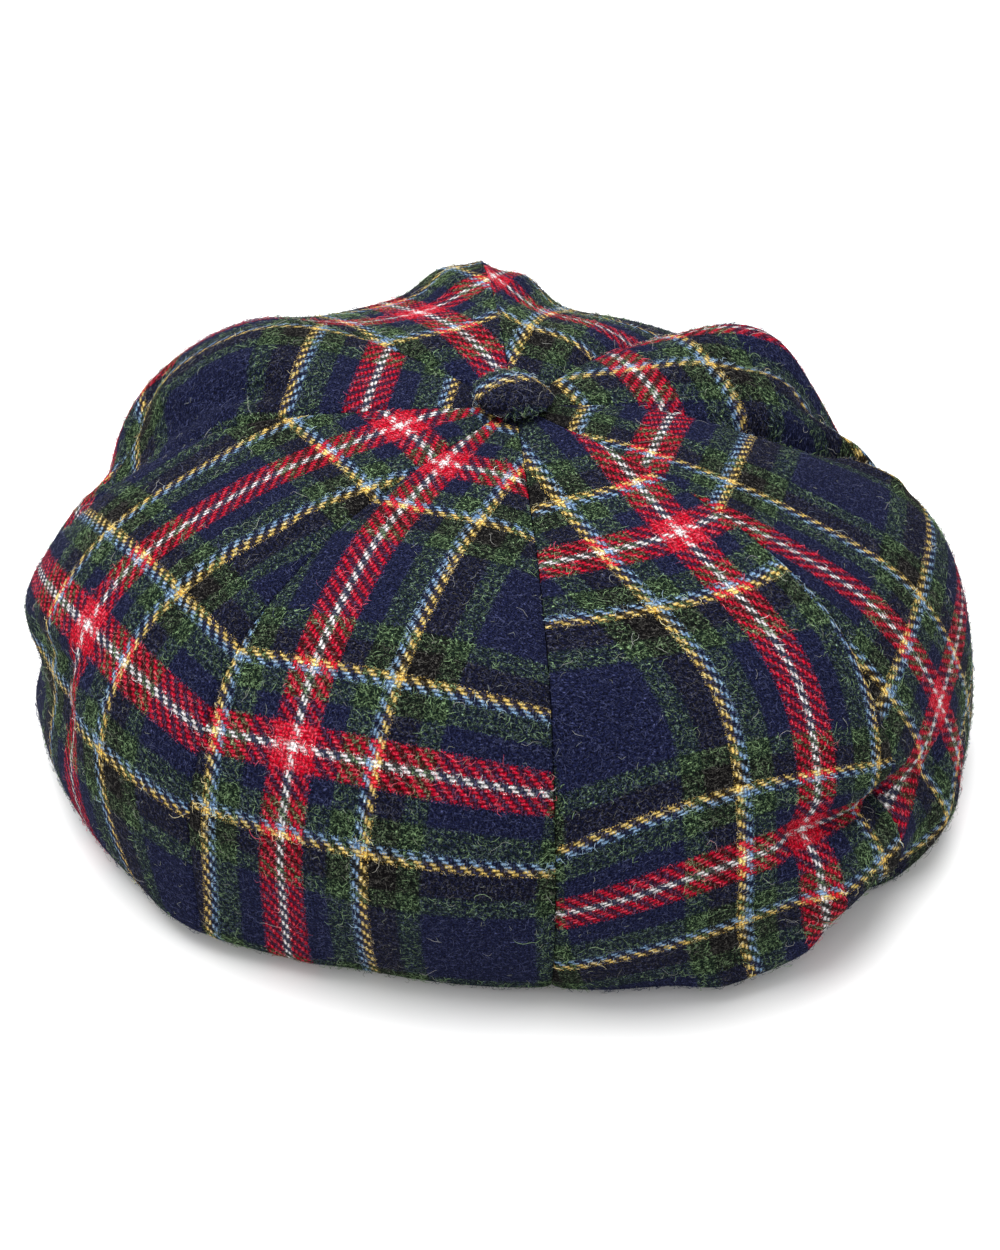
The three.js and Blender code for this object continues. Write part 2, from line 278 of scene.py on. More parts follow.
def fold_rise(turn, station, folds):
    """How far the folds lift (or sink) the cloth."""
    rise = np.zeros_like(turn)
    for from_turn, from_station, to_turn, to_station, width, height in folds:
        x = (turn - math.radians(from_turn)) * FOLD_RADIUS
        y = (station - from_station) * STATION_LENGTH
        along_x = math.radians(to_turn - from_turn) * FOLD_RADIUS
        along_y = (to_station - from_station) * STATION_LENGTH
        near = np.clip((x * along_x + y * along_y) / (along_x ** 2 + along_y ** 2), 0, 1)
        away = (x - near * along_x) ** 2 + (y - near * along_y) ** 2
        rise += height * np.exp(-away / width ** 2)
    return rise * smooth(station / FOLD_FADE_IN) * smooth((LAST_STATION - station) / FOLD_FADE_OUT)


def panel_points(index, across, station, offset=0.0, plain=False, gap=SEAM_GAP):
    """Points of one panel, across it (-1 to 1) and along it, lifted by offset off its cloth."""
    left = SEAMS[index]
    right = SEAMS[(index + 1) % len(SEAMS)]
    left_turn = math.radians(left[TURN])
    right_turn = math.radians(right[TURN] + (360 if right[TURN] < left[TURN] else 0))
    middle = PANELS[index, :FULLNESS]
    to_side = (np.abs(across) ** PANELS[index, FULLNESS])[..., None]
    side = np.where(across[..., None] < 0, left[SEAM_SECTION:], right[SEAM_SECTION:])
    section = middle + to_side * (side - middle)
    share = (across + 1) / 2

    def leaned(drift):
        from_left = (left_turn + math.radians(left[LEAN]) * drift) * (1 - share)
        return from_left + (right_turn + math.radians(right[LEAN]) * drift) * share

    stations = stations_of(section, leaned(1))
    here = curve_through(stations, station)
    ahead = curve_through(stations, np.minimum(station + NORMAL_STEP, LAST_STATION))
    behind = curve_through(stations, np.maximum(station - NORMAL_STEP, 0))
    run = unit(ahead - behind)
    out, up = here[..., 0], here[..., 1]
    turn = leaned(smooth(station / LEAN_DONE))
    lift = np.zeros_like(out) + offset
    if not plain:
        distance = (1 - np.abs(across)) * (right_turn - left_turn) / 2 * out
        fade = smooth(station / GROOVE_FADE) * smooth((LAST_STATION - station) / GROOVE_FADE)
        lift = lift + fold_rise(turn, station, FOLDS + CREASES)
        lift = lift - GROOVE_DEPTH * np.exp(-distance / GROOVE_WIDTH) * fade
        turn = turn - across * gap / 2 / out
    radius = out - run[..., 1] * lift
    up = up + run[..., 0] * lift
    return np.stack([-radius * np.sin(turn), -radius * np.cos(turn), up], -1)


def unfold(points):
    """Lays a grid of points (along, across) out flat, its middle column straight."""
    along, across, _ = points.shape
    middle = across // 2
    flat = np.zeros((along, across, 2))
    flat[:, middle, 1] = run_along(points[:, middle])
    for side in (-1, 1):
        for j in range(middle, 0 if side < 0 else across - 1, side):
            edge = points[1:, j] - points[:-1, j]
            reach = points[:-1, j + side] - points[:-1, j]
            length = np.linalg.norm(edge, axis=1)
            x = (reach * edge).sum(1) / length
            y = np.sqrt(np.maximum((reach ** 2).sum(1) - x ** 2, 0))
            run = flat[1:, j] - flat[:-1, j]
            run /= np.linalg.norm(run, axis=1)[:, None]
            aside = np.stack([run[:, 1], -run[:, 0]], 1) * side
            flat[:-1, j + side] = flat[:-1, j] + run * x[:, None] + aside * y[:, None]
            flat[-1, j + side] = 2 * flat[-2, j + side] - flat[-3, j + side]
    return flat


def knots(down, values):
    """A smooth curve through values of the cloth table, straight beyond its ends."""
    t = np.clip((down - CLOTH_FROM) / CLOTH_STEP, -1, len(values))
    start = np.clip(np.floor(t).astype(int), -1, len(values) - 1)
    for _ in range(2):
        before, after = 2 * values[0] - values[1], 2 * values[-1] - values[-2]
        values = np.concatenate([[before], values, [after]])
    return between(*(values[start + 1 + i] for i in range(4)), t - start)


def cloth_place(index, flat):
    """Where places of a flat panel are in the sett, in yarns."""
    across, down = flat[..., 0], flat[..., 1]
    red, spread, tilt, bow, along = (knots(down, column) for column in np.array(CLOTH[index]).T)
    x = (across - red) / spread
    y = along + tilt * across + bow * (across / BOW_SPAN) ** 2
    return np.stack([x, y], -1) / YARN


def panel_cloth(index, across, station):
    """Places in the sett for a full grid of a panel, unfolded from a coarser one."""
    coarse_across = np.linspace(-1, 1, COARSE_ACROSS)
    coarse_along = np.linspace(COARSE_FROM, LAST_STATION, COARSE_ALONG)
    grid_across, grid_along = np.meshgrid(coarse_across, coarse_along)
    flat = unfold(panel_points(index, grid_across, grid_along, plain=True))
    result = np.zeros(across.shape + (2,))
    for axis in (0, 1):
        wide = np.stack([np.interp(across[0], coarse_across, line) for line in flat[..., axis]])
        result[..., axis] = np.stack(
            [np.interp(station[:, 0], coarse_along, column) for column in wide.T], 1)
    return cloth_place(index, result)


# ---------------------------------------------------------------- meshes

AXIS = sum(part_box("top_button"), Vector()) / 2


def place(points):
    """Millimetres around the button's axis to metres in the frame."""
    moved = np.asarray(points, float) * MM
    moved[..., 0] += AXIS.x
    moved[..., 1] += AXIS.y
    return moved


def mesh_object(name, points, faces, uvs, materials, face_materials=None):
    """A smooth-shaded mesh whose corners take the Cloth place of their vertex."""
    mesh = bpy.data.meshes.new(name)
    faces = np.asarray(faces, np.int32)
    corners = faces.shape[1]
    mesh.vertices.add(len(points))
    mesh.vertices.foreach_set("co", place(points).astype(np.float32).ravel())
    mesh.loops.add(faces.size)
    mesh.loops.foreach_set("vertex_index", faces.ravel())
    mesh.polygons.add(len(faces))
    mesh.polygons.foreach_set("loop_start", np.arange(len(faces), dtype=np.int32) * corners)
    mesh.update(calc_edges=True)
    layer = mesh.uv_layers.new(name="Cloth")
    layer.data.foreach_set("uv", np.asarray(uvs, np.float32)[faces.ravel()].ravel())
    mesh.polygons.foreach_set("use_smooth", np.ones(len(faces), bool))
    for material in materials:
        mesh.materials.append(material)
    if face_materials is not None:
        mesh.polygons.foreach_set("material_index", np.asarray(face_materials, np.int32))
    mesh.validate()
    mesh.update()
    piece = bpy.data.objects.new(name, mesh)
    bpy.context.scene.collection.objects.link(piece)
    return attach(piece, "root")


def corners_of(grid):
    """The corners of every cell of a grid, in order around it."""
    return grid[:-1, :-1], grid[1:, :-1], grid[1:, 1:], grid[:-1, 1:]


def shell(outer, inner):
    """Points and quads of a closed plate between two grids, and how many quads are outside."""
    rows, columns = outer.shape[:2]
    count = rows * columns
    index = np.arange(count).reshape(rows, columns)
    outside = np.stack(corners_of(index), -1).reshape(-1, 4)
    loop = np.concatenate([index[0, :-1], index[:-1, -1], index[-1, :0:-1], index[:0:-1, 0]])
    following = np.roll(loop, -1)
    rim = np.stack([loop, following, following + count, loop + count], -1)
    points = np.concatenate([outer.reshape(-1, 3), inner.reshape(-1, 3)])
    faces = np.concatenate([outside, rim, outside[:, ::-1] + count])
    return points, faces, len(outside) + len(rim)


def loft_faces(steps, sides):
    """Triangles of one closed tube: its wall between rings, and a fan over each end ring."""
    i, j = np.meshgrid(np.arange(steps - 1), np.arange(sides), indexing="ij")
    a, b = (i * sides + j).ravel(), (i * sides + (j + 1) % sides).ravel()
    wall = np.concatenate([np.stack([a, b, b + sides], 1), np.stack([a, b + sides, a + sides], 1)])
    fan = np.arange(1, sides - 1)
    start = np.stack([0 * fan, fan + 1, fan], 1)
    end = np.stack([0 * fan, fan, fan + 1], 1) + (steps - 1) * sides
    return np.concatenate([wall, start, end])


def tubes(paths, ups, radii, sides):
    """Points and triangles of closed tubes, one along each path, with a radius at each step."""
    count, steps, _ = paths.shape
    ahead = unit(np.gradient(paths, axis=1))
    side = unit(np.cross(ahead, ups[:, None]))
    lift = np.cross(side, ahead)
    turn = np.arange(sides) * 2 * math.pi / sides
    ring = side[:, :, None] * np.cos(turn)[:, None] + lift[:, :, None] * np.sin(turn)[:, None]
    points = paths[:, :, None] + ring * radii[:, None, None]
    first = np.arange(count)[:, None, None] * steps * sides
    return points.reshape(-1, 3), (loft_faces(steps, sides) + first).reshape(-1, 3)


def roots(random, count, outer, inner, cloth):
    """Places spread evenly over a grid: points, outward directions, a direction along, cloth.

    The inner grid only tells which way is outwards.
    """
    a, b, c, d = corners_of(outer)
    area = np.linalg.norm(np.cross(c - a, d - b), axis=-1).ravel()
    total = np.cumsum(area)
    cell = np.searchsorted(total, random.random(count) * total[-1])
    across, along = random.random((2, count, 1))

    def at(grid):
        corners = [part.reshape(-1, grid.shape[-1])[cell] for part in corners_of(grid)]
        near = corners[0] * (1 - across) + corners[3] * across
        far = corners[1] * (1 - across) + corners[2] * across
        return near * (1 - along) + far * along

    base = at(outer)
    corner_a, corner_b, corner_d = (part.reshape(-1, 3)[cell] for part in (a, b, d))
    ahead = unit(corner_b - corner_a)
    up = unit(np.cross(ahead, corner_d - corner_a))
    facing = ((base - at(inner)) * up).sum(1, keepdims=True)
    return base, up * np.sign(facing), ahead, at(cloth)


CURL_SWING = 1.5                 # how much more a fibre's curl changes along it than as a whole
RISE_ARC = (-0.1, 2.4)           # a fibre starts in the cloth, rises, and sinks part of the way


def curly(random, base, up, ahead, length, lift, curl, steps):
    """Paths of fibres that leave the cloth and wander over it."""
    count = len(base)
    side = np.cross(up, ahead)
    heading = random.random((count, 1)) * 2 * math.pi
    bend = random.normal(0, curl, (count, 1)) + random.normal(0, curl, (count, steps)) * CURL_SWING
    step = random.uniform(*length, (count, 1)) / (steps - 1)
    heading = heading + np.cumsum(bend * step, axis=1)
    walk = np.cos(heading)[..., None] * ahead[:, None] + np.sin(heading)[..., None] * side[:, None]
    walk = np.cumsum(walk * step[..., None], axis=1) - walk[:, :1] * step[..., None]
    rise = np.sin(np.linspace(*RISE_ARC, steps)) * random.uniform(*lift, (count, 1))
    return base[:, None] + walk + up[:, None] * rise[..., None]


# ---------------------------------------------------------------- materials


class Graph:
    """A short way to write a node tree: a step takes and returns sockets, and surface() ends it."""

    def __init__(self, name):
        self.material = bpy.data.materials.new(name)
        self.material.use_nodes = True
        self.nodes = self.material.node_tree.nodes
        self.links = self.material.node_tree.links
        self.shader = self.nodes["Principled BSDF"]

    def feed(self, socket, value):
        if isinstance(value, bpy.types.NodeSocket):
            self.links.new(value, socket)
        else:
            socket.default_value = value

    def math(self, operation, *values):
        node = self.nodes.new("ShaderNodeMath")
        node.operation = operation
        for socket, value in zip(node.inputs, values):
            self.feed(socket, value)
        return node.outputs[0]

    def add(self, a, b):
        return self.math("ADD", a, b)

    def times(self, a, b):
        return self.math("MULTIPLY", a, b)

    def line(self, value, slope, start):
        return self.math("MULTIPLY_ADD", value, slope, start)

    def swing(self, value, reach):
        """Turns 0 to 1 into -reach to reach."""
        return self.line(value, 2 * reach, -reach)

    def rest_of(self, value):
        return self.math("SUBTRACT", 1.0, value)

    def at_least(self, value, least):
        return self.math("MAXIMUM", value, least)

    def floor(self, value):
        return self.math("FLOOR", value)

    def cloth(self):
        node = self.nodes.new("ShaderNodeUVMap")
        node.uv_map = "Cloth"
        return node.outputs[0]

    def split(self, vector):
        node = self.nodes.new("ShaderNodeSeparateXYZ")
        self.feed(node.inputs[0], vector)
        return node.outputs[0], node.outputs[1]

    def join(self, x, y, z=0.0):
        node = self.nodes.new("ShaderNodeCombineXYZ")
        for socket, value in zip(node.inputs, (x, y, z)):
            self.feed(socket, value)
        return node.outputs[0]

    def grey(self, value):
        return self.join(value, value, value)

    def noise(self, vector, scale, detail=2.0, roughness=0.6):
        node = self.nodes.new("ShaderNodeTexNoise")
        self.feed(node.inputs["Vector"], vector)
        node.inputs["Scale"].default_value = scale
        node.inputs["Detail"].default_value = detail
        node.inputs["Roughness"].default_value = roughness
        return node.outputs["Fac"]

    def chance(self, vector):
        node = self.nodes.new("ShaderNodeTexWhiteNoise")
        node.noise_dimensions = "2D"
        self.feed(node.inputs["Vector"], vector)
        return node.outputs["Value"]

    def ramp(self, value, stops, interpolation="LINEAR"):
        node = self.nodes.new("ShaderNodeValToRGB")
        node.color_ramp.interpolation = interpolation
        elements = node.color_ramp.elements
        while len(elements) < len(stops):
            elements.new(1.0)
        for element, (position, colour) in zip(elements, stops):
            element.position = position
            element.color = (*colour, 1)
        self.feed(node.inputs[0], value)
        return node.outputs[0]

    def mix(self, share, a, b, blend="MIX"):
        node = self.nodes.new("ShaderNodeMix")
        node.data_type = "RGBA"
        node.clamp_result = True
        node.blend_type = blend
        self.feed(node.inputs[0], share)
        self.feed(node.inputs[6], (*a, 1) if isinstance(a, tuple) else a)
        self.feed(node.inputs[7], (*b, 1) if isinstance(b, tuple) else b)
        return node.outputs[2]

    def bump(self, height, distance):
        node = self.nodes.new("ShaderNodeBump")
        node.inputs["Strength"].default_value = 1.0
        node.inputs["Distance"].default_value = distance
        self.feed(node.inputs["Height"], height)
        return node.outputs[0]

    def surface(self, colour, roughness, specular):
        self.feed(self.shader.inputs["Base Color"], colour)
        self.shader.inputs["Roughness"].default_value = roughness
        self.shader.inputs["Specular IOR Level"].default_value = specular
        return self.material


def sett_ramp(graph, yarn_number, value_of):
    """A value of the dye of a yarn, by its whole number: a constant ramp over half a repeat."""
    stops = []
    start = 0
    for dye, count in SETT:
        stops.append((start / HALF_SETT, value_of(DYES[dye])))
        start += count
    mirrored = graph.math("PINGPONG", graph.add(yarn_number, 0.5), float(HALF_SETT))
    return graph.ramp(graph.math("DIVIDE", mirrored, float(HALF_SETT)), stops, "CONSTANT")


# The tartan's material counts in yarns: scales of noises are for one yarn.
ELSEWHERE = (31.7, 17.3)         # a second place in the noises, for values that differ
SWAY = 0.5                       # how far a yarn wanders off its straight line
SWAY_SCALE = 0.9
FUZZ = 1.9                       # how far loose fibres carry a dye over its yarn's edge
FUZZ_SCALES = (2.6, 2.4)
TWILL = 4.0                      # yarns in a repeat of the weave, half of them over
TWILL_OVER = 1.5                 # between the last step that is over and the first under
FLOAT_ENDS = 0.5                 # how blunt the ends of a float are
FLOAT_ACROSS = 1.15              # and how round it is across
CLOUDS = (1.5, 3.0, 0.75)        # scale, detail and roughness of the felt's clouds
CLOUD_EDGES = (0.40, 0.60)
VEIL_SCALE = 1.7                 # fibres of the yarn beneath veil the yarn on top
VEIL_LINE = (2.0, -0.74)
VEIL_GLOW = 1.8                  # more so where the yarn beneath is bright
CURLS = [(0.75, 0.042), (1.35, 0.05)]    # scale and width of the nap's curly lines
PATCH_SCALE = 0.8                # the nap lies in patches
PATCH_LINE = (4.0, -1.6)
FELT_HIDES = 0.85                # how much of the weave's relief felt hides
YARN_LIGHT = 1.2                 # light on top of a yarn
FELT_LIGHT = 0.72                # light on felt
GAP_LIGHT = 0.06                 # light between yarns
GLOW_LIGHT = 0.45                # light through from a bright yarn beneath
GRAIN = (1.7, 3.0, 0.8)          # scale, detail and roughness of the wool's grain
GRAIN_OF_FELT = 6.2              # how strong it is on felt, beyond its strength on yarns
GRAIN_OF_YARN = 2.6
GRAIN_DARKEST = 0.1
RELIEF = 0.4                     # height of the weave, in millimetres
CURL_RELIEF = 0.8                # height of the nap's lines, as a share of it


def float_height(graph, along, aside, start):
    """Height of a yarn that passes over two others: round across it and at its ends."""
    passed = graph.math("SUBTRACT", graph.math("FLOORED_MODULO", along, TWILL), start)
    ends = graph.at_least(graph.math("SINE", graph.times(passed, math.pi / 2)), 0.0)
    across = graph.math("SINE", graph.times(graph.math("FRACT", aside), math.pi))
    return graph.times(graph.math("POWER", ends, FLOAT_ENDS),
                       graph.math("POWER", across, FLOAT_ACROSS))


def fibres(graph, where, scale, width):
    """Curly thin lines: where a noise passes its middle value."""
    far = graph.math("ABSOLUTE", graph.math("SUBTRACT", graph.noise(where, scale, 1.0), 0.5))
    return graph.ramp(graph.math("DIVIDE", far, width), [(0, (1, 1, 1)), (1, (0, 0, 0))])


def tartan(name):
    """Woollen tartan in a 2/2 twill, its dark grounds felted over, with a curly nap."""
    graph = Graph(name)
    cloth = graph.cloth()
    u, v = graph.split(cloth)
    moved = graph.join(graph.add(u, ELSEWHERE[0]), graph.add(v, ELSEWHERE[1]))
    ragged_u = graph.add(u, graph.swing(graph.noise(cloth, SWAY_SCALE), SWAY))
    ragged_v = graph.add(v, graph.swing(graph.noise(moved, SWAY_SCALE), SWAY))
    warp = graph.floor(ragged_u)
    weft = graph.floor(ragged_v)
    astray_u = graph.swing(graph.noise(moved, FUZZ_SCALES[0], 1.0), FUZZ)
    astray_v = graph.swing(graph.noise(cloth, FUZZ_SCALES[1], 1.0), FUZZ)
    warp_from = graph.floor(graph.add(ragged_u, astray_u))
    weft_from = graph.floor(graph.add(ragged_v, astray_v))
    step = graph.math("FLOORED_MODULO", graph.add(warp, weft), TWILL)
    warp_over = graph.math("LESS_THAN", step, TWILL_OVER)
    # Where both dyes are dark, clouds of felt hide the weave.
    felted = graph.math("MINIMUM", *(sett_ramp(graph, yarn, lambda dye: (dye[FELT],) * 3)
                                     for yarn in (warp, weft)))
    bare = graph.rest_of(felted)
    low, high = CLOUD_EDGES
    cloudy = graph.ramp(graph.noise(cloth, *CLOUDS), [(low, (0, 0, 0)), (high, (1, 1, 1))])
    share = graph.add(graph.times(felted, cloudy), graph.times(bare, warp_over))
    own, light = ([sett_ramp(graph, yarn, lambda dye, part=part: dye[part])
                   for yarn in (warp_from, weft_from)] for part in (OWN, PALE_FIBRE_AND_HIGHLIGHT))
    beneath = graph.mix(share, own[0], own[1])
    glow = graph.split(beneath)[0]
    veil = graph.times(bare, graph.line(graph.noise(moved, VEIL_SCALE), *VEIL_LINE))
    veil = graph.times(veil, graph.line(glow, VEIL_GLOW, 1.0))
    body = graph.mix(veil, graph.mix(share, own[1], own[0]), beneath, "MULTIPLY")
    # The nap's curls have the paler colour of their yarn's fibres, with painted highlight in it.
    bright = graph.mix(share, light[1], light[0])
    curls = graph.math("MAXIMUM", fibres(graph, cloth, *CURLS[0]), fibres(graph, moved, *CURLS[1]))
    patches = graph.line(graph.noise(moved, PATCH_SCALE), *PATCH_LINE)
    amount = graph.math("MINIMUM", graph.at_least(graph.times(curls, patches), 0.0), 1.0)
    napped = graph.mix(amount, body, bright)
    # Yarns are round, and light does not reach between them.
    over = graph.times(warp_over, float_height(graph, graph.add(warp, ragged_v), ragged_u, 0.0))
    under = graph.times(graph.rest_of(warp_over),
                        float_height(graph, graph.add(ragged_u, weft), ragged_v, TWILL / 2))
    relief = graph.times(graph.add(over, under), graph.line(felted, -FELT_HIDES, 1.0))
    gap = graph.line(relief, YARN_LIGHT, graph.line(felted, FELT_LIGHT, GAP_LIGHT))
    swing = graph.line(felted, GRAIN_OF_FELT, GRAIN_OF_YARN)
    grain = graph.line(graph.math("SUBTRACT", graph.noise(cloth, *GRAIN), 0.5), swing, 1.0)
    tone = graph.times(graph.line(glow, GLOW_LIGHT, gap), graph.at_least(grain, GRAIN_DARKEST))
    colour = graph.mix(1.0, napped, graph.grey(tone), "MULTIPLY")
    height = graph.add(relief, graph.times(curls, CURL_RELIEF))
    graph.feed(graph.shader.inputs["Normal"], graph.bump(height, RELIEF * MM))
    graph.shader.inputs["Sheen Weight"].default_value = 0.01
    graph.shader.inputs["Sheen Roughness"].default_value = 0.45
    graph.shader.inputs["Sheen Tint"].default_value = (0.75, 0.78, 0.9, 1)
    return graph.surface(colour, 0.95, 0.02)


FIBRE_DIMMING = (0.9, 0.25)      # how much darker than its light colour a loose fibre may be


def fibre_wool(name, pale_share, pale):
    """Loose fibres: each has the paler colour of the yarn that it grows from, with painted
    highlight in it, or is pale.
    """
    graph = Graph(name)
    cloth = graph.cloth()
    u, v = graph.split(cloth)
    light = [sett_ramp(graph, graph.floor(part), lambda dye: dye[PALE_FIBRE_AND_HIGHLIGHT]) for part in (u, v)]
    own = graph.mix(graph.math("GREATER_THAN", graph.chance(cloth), 0.5), *light)
    luck = graph.chance(graph.join(v, u))
    dimmed = graph.mix(1.0, own, graph.grey(graph.line(luck, *FIBRE_DIMMING)), "MULTIPLY")
    colour = graph.mix(graph.math("LESS_THAN", luck, pale_share), dimmed, pale)
    return graph.surface(colour, 0.7, 0.15)


SPOTS = (1.2, 3.0)               # scale and detail of the spots on plain cloth and thread
SPOT_SHADE = 0.75


def plain(name, colour, roughness):
    """One colour with darker spots."""
    graph = Graph(name)
    dark = tuple(part * SPOT_SHADE for part in colour)
    spotted = graph.mix(graph.noise(graph.cloth(), *SPOTS), dark, colour)
    return graph.surface(spotted, roughness, 0.5)


TARTAN = tartan("tartan_wool")
NAP = fibre_wool("wool_nap", 0.04, (0.26, 0.28, 0.22))
STRAY = fibre_wool("wool_stray_hairs", 0.45, (0.36, 0.36, 0.34))
LINING = plain("navy_lining", (0.02, 0.022, 0.04), 0.6)
SWEATBAND = plain("black_sweatband", (0.012, 0.012, 0.015), 0.7)
THREAD = plain("navy_thread", (0.015, 0.016, 0.035), 0.6)

# ---------------------------------------------------------------- pieces


def across_places():
    """Places across a panel, closer together towards its seams."""
    even = np.linspace(-1, 1, ACROSS_STEPS + 1)
    return EVEN_SHARE * even + (1 - EVEN_SHARE) * np.sin(even * math.pi / 2)


# Short fibres and long ones: their length, how far they rise, their curl and their radii.
NAP_SHAPE = ((1.2, 3.2), (0.15, 0.9), 0.7, (0.065, 0.06, 0.03))
STRAY_SHAPE = ((2.5, 7.5), (0.3, 1.4), 0.35, (0.05,) * 6 + (0.045, 0.04, 0.025))
FIBRE_SIDES = 3
NAP_COUNT = 3600                 # fibres on a panel
STRAY_COUNT = 80
FIBRE_FROM = 0.4                 # stations between which they show
FIBRE_TO = 6.0


def fibres_on(name, random, count, shape, grid, material):
    """One piece of loose fibres spread over a grid of cloth, none of them under the floor."""
    length, lift, curl, radii = shape
    outer, inner, cloth = grid
    base, up, ahead, at = roots(random, count, outer, inner, cloth)
    paths = curly(random, base, up, ahead, length, lift, curl, len(radii))
    paths[..., 2] = np.maximum(paths[..., 2], radii[0])
    points, faces = tubes(paths, up, np.array(radii), FIBRE_SIDES)
    uvs = np.repeat(at, len(radii) * FIBRE_SIDES, axis=0)
    piece = mesh_object(name, points, faces, uvs, [material])
    return piece


def nap_on(name, random, count, grid):
    return fibres_on(f"{name}_nap", random, count, NAP_SHAPE, grid, NAP)


def strays_on(name, random, count, grid):
    return fibres_on(f"{name}_stray_hairs", random, count, STRAY_SHAPE, grid, STRAY)


def crown_panel(index):
    """A panel with its lining inside, and its loose fibres."""
    first = HOLE_RADIUS / TOP_OUT
    across, station = np.meshgrid(across_places(), np.linspace(first, LAST_STATION, ALONG_STEPS))
    outer = panel_points(index, across, station)
    inner = panel_points(index, across, station, -CLOTH_WALL, gap=INNER_SEAM_GAP)
    points, faces, outside = shell(outer, inner)
    cloth = panel_cloth(index, across, station)
    kinds = np.where(np.arange(len(faces)) < outside, 0, 1)
    name = f"crown_panel_{index + 1}"
    flat = cloth.reshape(-1, 2)
    piece = mesh_object(f"{name}_cloth", points, faces, np.concatenate([flat, flat]),
                        [TARTAN, LINING], kinds)
    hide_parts(name)
    rows = np.nonzero((station[:, 0] > FIBRE_FROM) & (station[:, 0] < FIBRE_TO))[0]
    grid = [part[rows[0]:rows[-1] + 1] for part in (outer, inner, cloth)]
    random = np.random.default_rng(index)
    nap = nap_on(name, random, NAP_COUNT, grid)
    hairs = strays_on(name, random, STRAY_COUNT, grid)


BUTTON_SIDES = 96
BUTTON_LEAN = (-1.8, 0.4)        # how far its top leans over its shank
BUTTON_POINTS = (8, 8, 40)       # along its underside, its rim and its dome
SHANK_TIP = 0.3                  # radius where the shank ends
SHANK_BEVEL = (0.4, 0.5)
BUTTON_UNDER = (3.5, 10.0)       # radii between which its underside is flat
BUTTON_UNDER_SINK = 0.15         # how much lower that is than its rim
RIM_TILT = (-1, 0.083952)        # the rim goes from its lower edge (-1) past its widest place (0)
RIM_ROUND = 0.9
DOME_OUT = 0.97                  # the dome starts just inside the rim
DOME_FLAT = 0.95                 # and is a little fuller than an ellipse
DOME_ANGLES = (0.03, math.pi / 2 - 0.025)
PUCKERS = 13                     # gathers under its rim
PUCKER_DEPTH = 0.12
PUCKER_UP = 0.02                 # height of the deepest place, as a share of the button's
PUCKER_FADE = 0.35
PUCKER_UNEVEN = (1.3, 3)         # how far, and how often around, the gathers are out of step
BUTTON_SEED = 20
BUTTON_NAP = 340
BUTTON_STRAYS = 16
BUTTON_CLOTH = (23.4, 52.0)      # where its top is in the sett, in millimetres
BUTTON_CLOTH_TURN = math.radians(107)
BUTTON_STRETCH = 0.88            # share of its own size that its cloth covered before stretching


def button_profile():
    """Radii and heights from the foot of the shank to the top, and the first one that shows."""
    rim_up = CROWN_UP + BUTTON_RIM_UP
    foot_up = CROWN_UP - SHANK_LENGTH
    inward, upward = SHANK_BEVEL
    shank = [(SHANK_TIP, foot_up), (SHANK_RADIUS - inward, foot_up)]
    shank += [(SHANK_RADIUS, up) for up in (foot_up + upward, CROWN_UP, rim_up - upward)]
    under_points, rim_points, dome_points = BUTTON_POINTS
    outs = np.linspace(*BUTTON_UNDER, under_points)
    under = [(out, rim_up - BUTTON_UNDER_SINK) for out in outs]
    tilt = np.linspace(*RIM_TILT, rim_points)
    outs = BUTTON_RADIUS - BUTTON_TUCK + BUTTON_TUCK * np.cos(tilt * math.pi / 2)
    rim = list(zip(outs, rim_up + BUTTON_RIM * (1 + tilt * RIM_ROUND)))
    angles = np.linspace(*DOME_ANGLES, dome_points)
    outs = BUTTON_RADIUS * DOME_OUT * np.cos(angles) ** DOME_FLAT
    dome = list(zip(outs, rim_up + BUTTON_RIM + BUTTON_DOME * np.sin(angles)))
    return np.array(shank + under + rim + dome), len(shank) + len(under)


def button():
    """A covered button: cloth drawn over a dome, gathered under its rim, and a shank."""
    profile, first_shown = button_profile()
    turn = np.arange(BUTTON_SIDES) * 2 * math.pi / BUTTON_SIDES
    out, up = profile[:, :1], profile[:, 1:]
    height = np.clip((up - CROWN_UP - BUTTON_RIM_UP) / (BUTTON_RIM + BUTTON_DOME), 0, 1)
    gathered = smooth(1 - abs(height - PUCKER_UP) / PUCKER_FADE) * (out > SHANK_RADIUS + 2)
    shift = PUCKER_UNEVEN[0] * np.sin(turn * PUCKER_UNEVEN[1])
    out = out + (np.sin(turn * PUCKERS + shift) - 1) * gathered * PUCKER_DEPTH
    x = out * np.cos(turn) + BUTTON_LEAN[0] * smooth(height * 2)
    y = out * np.sin(turn) + BUTTON_LEAN[1] * smooth(height * 2)
    rings = np.stack([x, y, np.broadcast_to(up, x.shape)], -1)
    run = run_along(profile[::-1])[::-1, None]
    u = BUTTON_CLOTH[0] - run * np.cos(turn - BUTTON_CLOTH_TURN) * BUTTON_STRETCH
    v = BUTTON_CLOTH[1] + run * np.sin(turn - BUTTON_CLOTH_TURN) * BUTTON_STRETCH
    cloth = np.stack([u, v], -1) / YARN
    piece = mesh_object("top_button_cloth", rings.reshape(-1, 3), loft_faces(*x.shape),
                        cloth.reshape(-1, 2), [TARTAN])
    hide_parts("top_button")
    around = [np.concatenate([part[first_shown:], part[first_shown:, :1]], 1)
              for part in (rings, cloth)]
    middle = around[0] * (1, 1, 0) * 0.5 + (0, 0, CROWN_UP)
    grid = (around[0], middle, around[1])
    random = np.random.default_rng(BUTTON_SEED)
    nap_on("top_button", random, BUTTON_NAP, grid)
    strays_on("top_button", random, BUTTON_STRAYS, grid)


STITCH_LENGTH = 2.6
STITCH_PITCH = 3.7
STITCH_RADIUS = 0.28
STITCH_STEPS = 5
STITCH_SIDES = 6


